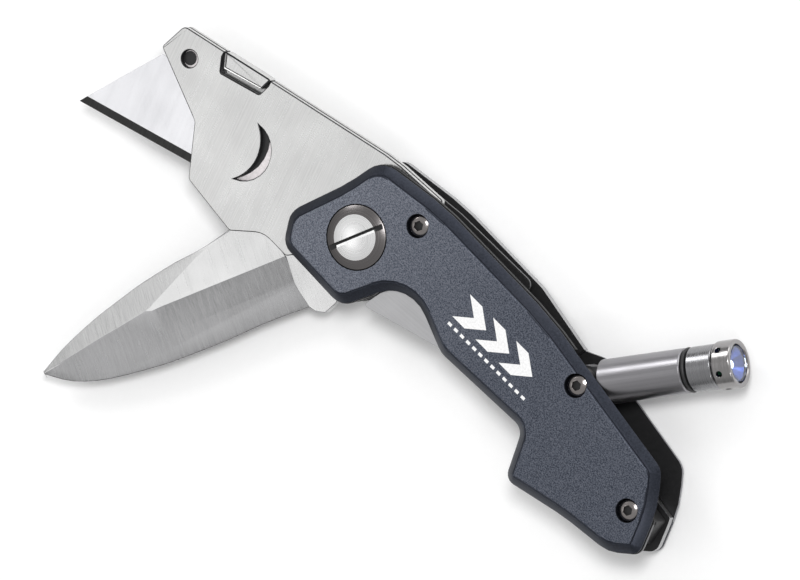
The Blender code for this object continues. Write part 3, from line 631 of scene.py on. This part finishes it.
def finish_head_faces():
    # Painted shade: the release button's chamfers away from the spine, the walls of the thumb cut, the rivet hole
    # and the button's pocket, and the rear plate's front faces are near-black.
    refinish("release_button", SHADE_STEEL,
             lambda normal, centre: is_slanted(normal, centre) and not faces_spine(normal, centre))
    in_cut = near(from_pivot([THUMB_CUT])[0], THUMB_CUT_REACH)
    in_hole = near(from_pivot([RIVET_HOLE])[0], RIVET_HOLE_REACH)
    in_pocket = near(from_pivot([BUTTON_POCKET])[0], BUTTON_POCKET_REACH)
    refinish("head_front_plate", SHADE_STEEL,
             lambda normal, centre: abs(normal.z) < UPRIGHT
             and (in_cut(centre) or in_hole(centre)
                  or (in_pocket(centre) and normal.y < FACES_BELLY)))
    refinish("head_rear_plate", SHADE_STEEL,
             lambda normal, centre: normal.z > FACES_FRONT or in_pocket(centre))


def plate(name, outline, low, high, body, finish):
    """A thin flat piece from an outline in metres, between two heights."""
    work = bmesh.new()
    rings = [[work.verts.new((x, y, height)) for x, y in outline] for height in (low, high)]
    count = len(outline)
    for index in range(count):
        after = (index + 1) % count
        work.faces.new((rings[0][index], rings[0][after], rings[1][after], rings[1][index]))
    work.faces.new(reversed(rings[0]))
    work.faces.new(rings[1])
    bmesh.ops.recalc_face_normals(work, faces=work.faces)
    mesh = bpy.data.meshes.new(name)
    work.to_mesh(mesh)
    work.free()
    mesh.materials.append(finish)
    piece = bpy.data.objects.new(name, mesh)
    bpy.context.scene.collection.objects.link(piece)
    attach(piece, body)


def from_pivot(points):
    """Millimetre points in the handle's plane, as metres in the frame."""
    return [(PIVOT.x + x * MM, PIVOT.y + y * MM) for x, y in points]


# The places below are in millimetres from the main pivot, in the handle's plane.
THUMB_CUT = (31.0, 5.6)
RIVET_HOLE = (58.1, -0.3)
RIVET_R = 1.97
# A black disc off the rivet's centre in the rivet hole: painted shadow.
HOLE_SHADE = (58.45, -0.1)
HOLE_SHADE_R = 1.6
DISC_SIDES = 24
BUTTON_POCKET = (46.5, -7.0)
GUIDE_OUTLINE = ((26.6, -2.4), (37.0, -2.4), (37.0, 13.6), (26.6, 13.6))
# Outline of a black sheet over most of the guide strip: painted shadow in the thumb cut.
CUT_SHADE_OUTLINE = ((36.8, -2.0), (33.0, -1.1), (31.6, 0.2), (30.6, 2.0), (30.0, 4.2),
                       (29.9, 6.5), (30.4, 8.7), (31.3, 10.8), (33.5, 13.0), (36.8, 13.0))
CHEVRONS = 3
CHEVRON_NOSE = -33.2
CHEVRON_STEP = 7.6
CHEVRON_LENGTH = 4.2
CHEVRON_STROKE = 4.0
CHEVRON_SPAN = (-9.6, -3.0)
DASHES = 13
DASH_START = -29.2
DASH_STEP = 2.0
DASH_LENGTH = 1.1
DASH_SPAN = (-1.6, -0.9)
SLOT_TURN = math.radians(63)
SLOT_REACH = 5.0
SLOT_LIP = (0.05, 0.62)

# Heights in metres.
INK_DEPTH = (0.00001, 0.00002)
SLOT_LIP_SUNK = 0.0002
SLOT_LIP_THICK = 0.0007
GUIDE_GAP = 0.00003
GUIDE_RISE = 0.00035
CUT_SHADE_THICK = 0.00005
RIVET_RISE = 0.0003
HOLE_SHADE_RISE = 0.0004


def printed_mark():
    """A generic printed mark on the front scale: three chevrons over a row of short dashes."""
    low, high = FACE_Z - INK_DEPTH[0], FACE_Z + INK_DEPTH[1]
    spine, belly = CHEVRON_SPAN
    centre = (spine + belly) / 2
    for index in range(CHEVRONS):
        nose = CHEVRON_NOSE - index * CHEVRON_STEP
        back = nose + CHEVRON_LENGTH
        outline = [(nose, centre), (back, spine), (back - CHEVRON_STROKE, spine),
                   (nose - CHEVRON_STROKE, centre), (back - CHEVRON_STROKE, belly), (back, belly)]
        plate(f"printed_chevron_{index + 1}", from_pivot(outline), low, high, "handle",
              PRINT_WHITE)
    for index in range(DASHES):
        start = DASH_START - index * DASH_STEP
        end = start - DASH_LENGTH
        spine, belly = DASH_SPAN
        outline = [(start, spine), (end, spine), (end, belly), (start, belly)]
        plate(f"printed_dash_{index + 1}", from_pivot(outline), low, high, "handle",
              PRINT_WHITE)


def slot_lip():
    """The stepped lower side of the pivot screw's slot."""
    along = Vector((math.cos(SLOT_TURN), math.sin(SLOT_TURN)))
    across = Vector((-along.y, along.x))
    near_side, far_side = SLOT_LIP
    corners = [along * reach + across * side
               for reach, side in ((-SLOT_REACH, near_side), (SLOT_REACH, near_side),
                                   (SLOT_REACH, far_side), (-SLOT_REACH, far_side))]
    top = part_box("pivot_screw")[1][2] - SLOT_LIP_SUNK
    plate("slot_lip", from_pivot(corners), top - SLOT_LIP_THICK, top, "handle",
          PIVOT_STEEL)


def disc(name, centre, radius, low, high, finish):
    """A thin round piece of the cutter head, about a place in the handle's plane."""
    turns = [side * math.tau / DISC_SIDES for side in range(DISC_SIDES)]
    outline = [(centre[0] + radius * math.cos(turn), centre[1] + radius * math.sin(turn))
               for turn in turns]
    plate(name, from_pivot(outline), low, high, "cutter_head", finish)


def blade_guide():
    """The guide strip and rivet inside the head, which show through the thumb cut and the hole, with black sheets
    as painted shadow over part of each.
    """
    plate_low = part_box("head_front_plate")[0][2]
    low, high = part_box("utility_blade")[1][2] + GUIDE_GAP, plate_low + GUIDE_RISE
    plate("blade_guide", from_pivot(GUIDE_OUTLINE), low, high, "cutter_head", GUIDE_STEEL)
    # Black sheet on the guide strip: painted shadow in the thumb cut.
    plate("thumb_cut_painted_shadow", from_pivot(CUT_SHADE_OUTLINE), high, high + CUT_SHADE_THICK,
          "cutter_head", BLACK_NYLON_AND_SHADE)
    disc("head_rivet", RIVET_HOLE, RIVET_R, plate_low, plate_low + RIVET_RISE, GUIDE_STEEL)
    # Black disc in the rivet hole: painted shadow.
    disc("rivet_hole_painted_shadow", HOLE_SHADE, HOLE_SHADE_R, plate_low, plate_low + HOLE_SHADE_RISE,
         BLACK_NYLON_AND_SHADE)


finish_cad_nodes()
finish_handle_faces()
finish_blade_faces()
finish_screw_faces()
finish_head_faces()
printed_mark()
slot_lip()
blade_guide()

# ---------------------------------------------------------------- studio

SKY_TOP = 0.62
SKY_HORIZON = 0.30
FLOOR_HALF = 3.0
FLOOR_DROP = 0.0002
# Each soft box: name, place, what it aims at, width and depth, brightness.
SOFT_BOXES = (
    ("head_box", (0.23, 0.225, 0.55), (0.03, 0, 0), (0.22, 0.15), 1.1),
    ("fill_box", (-0.20, -0.66, 1.22), (0, 0, 0), (0.36, 0.36), 22),
    ("rear_card", (-0.88, -0.04, 0.60), (-0.08, 0, 0), (0.13, 0.13), 16),
    ("low_card", (0.25, -1.0, 0.2), (0, 0, 0), (1.4, 0.3), 3),
    ("tube_box", (0.79, -0.18, 0.51), (-0.06, -0.04, 0), (0.3, 0.26), 7),
)


def area_light(name, place, aim, size, radiance):
    """A soft box of the given width, depth and brightness."""
    data = bpy.data.lights.new(name, 'AREA')
    data.shape = 'RECTANGLE'
    data.size, data.size_y = size
    data.energy = radiance * math.pi * size[0] * size[1]
    lamp = bpy.data.objects.new(name, data)
    lamp.location = place
    lamp.rotation_euler = (Vector(aim) - Vector(place)).to_track_quat('-Z', 'Y').to_euler()
    bpy.context.scene.collection.objects.link(lamp)


def soft_sky():
    """A white dome, bright overhead and dim at the horizon."""
    world = bpy.data.worlds.new("studio")
    world.use_nodes = True
    tree = world.node_tree
    background = tree.nodes["Background"]
    background.inputs["Color"].default_value = (1.0, 1.0, 1.0, 1.0)
    split = tree.nodes.new("ShaderNodeSeparateXYZ")
    tree.links.new(tree.nodes.new("ShaderNodeTexCoord").outputs["Generated"], split.inputs[0])
    fade = tree.nodes.new("ShaderNodeMapRange")
    fade.interpolation_type = 'SMOOTHSTEP'
    for label, number in (("From Min", 0.0), ("From Max", 0.7), ("To Min", SKY_HORIZON),
                          ("To Max", SKY_TOP)):
        fade.inputs[label].default_value = number
    tree.links.new(split.outputs[2], fade.inputs["Value"])
    tree.links.new(fade.outputs["Result"], background.inputs["Strength"])
    bpy.context.scene.world = world


def floor():
    mesh = bpy.data.meshes.new("floor")
    mesh.from_pydata([(-FLOOR_HALF, -FLOOR_HALF, 0), (FLOOR_HALF, -FLOOR_HALF, 0),
                      (FLOOR_HALF, FLOOR_HALF, 0), (-FLOOR_HALF, FLOOR_HALF, 0)], [],
                     [(0, 1, 2, 3)])
    mesh.materials.append(paper_material())
    sheet = bpy.data.objects.new("floor", mesh)
    sheet.location.z = -FLOOR_DROP
    bpy.context.scene.collection.objects.link(sheet)


def studio():
    floor()
    soft_sky()
    for box in SOFT_BOXES:
        area_light(*box)
    bpy.context.scene.view_settings.view_transform = 'Standard'


studio()
